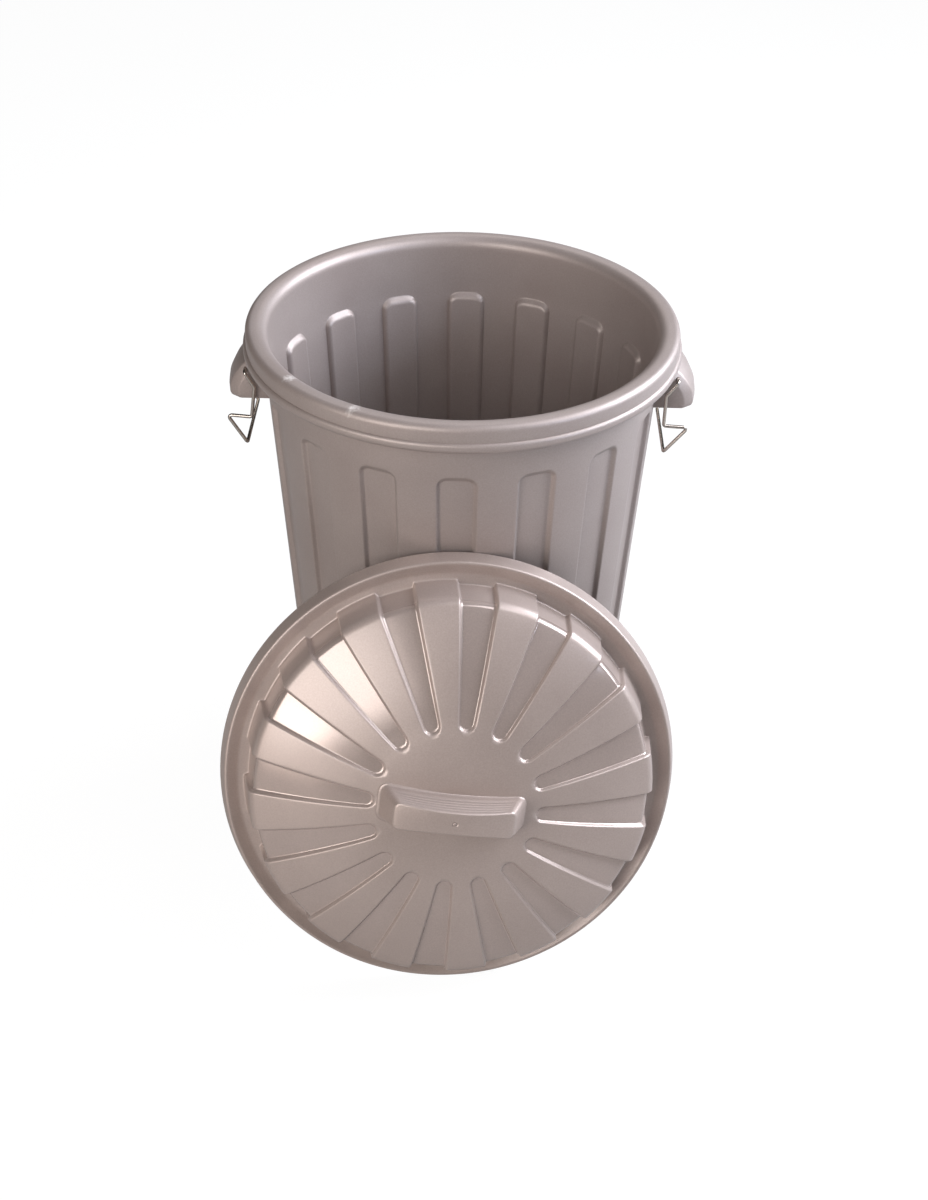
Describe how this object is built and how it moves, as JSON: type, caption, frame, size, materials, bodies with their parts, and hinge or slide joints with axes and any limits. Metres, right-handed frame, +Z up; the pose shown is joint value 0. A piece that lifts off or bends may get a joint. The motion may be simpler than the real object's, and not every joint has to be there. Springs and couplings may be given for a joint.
{
  "type": "dustbin",
  "caption": "Round tapered dustbin of moulded plastic with fluted wall, rolled rim and hooded ears, a domed lid with bar handle leaning on the front, and swinging wire clips.",
  "frame": {"origin": "on the floor under the tub's axis, at the middle of its flat base", "axes": "+Z up along the tub's axis, -Y towards the leaning lid at the front, +X towards the right ear"},
  "size_m": [0.52, 0.6709, 0.634],
  "materials": {
    "bin_plastic": "satin warm silver-grey moulded polypropylene",
    "lid_plastic": "satin warm silver-grey moulded polypropylene",
    "clip_wire": "bright zinc-plated steel wire"
  },
  "bodies": {
    "bin": {"bin_body": "bin_plastic"},
    "lid": {"lid": "lid_plastic"},
    "right_clip": {"right_clip": "clip_wire"},
    "left_clip": {"left_clip": "clip_wire"}
  },
  "joints": [
    {"name": "lid_lift", "type": "slide", "parent": "bin", "child": "lid", "axis": [0.0974, -0.9422, 0.3206], "range_m": [0, 0.3]},
    {"name": "right_clip_swing", "type": "hinge", "parent": "bin", "child": "right_clip", "pos_m": [0.2365, 0, 0.5875], "axis": [0, -1, 0], "range_deg": [-5, 178]},
    {"name": "left_clip_swing", "type": "hinge", "parent": "bin", "child": "left_clip", "pos_m": [-0.2365, 0, 0.5875], "axis": [0, 1, 0], "range_deg": [-12.5, 170.5]}
  ]
}
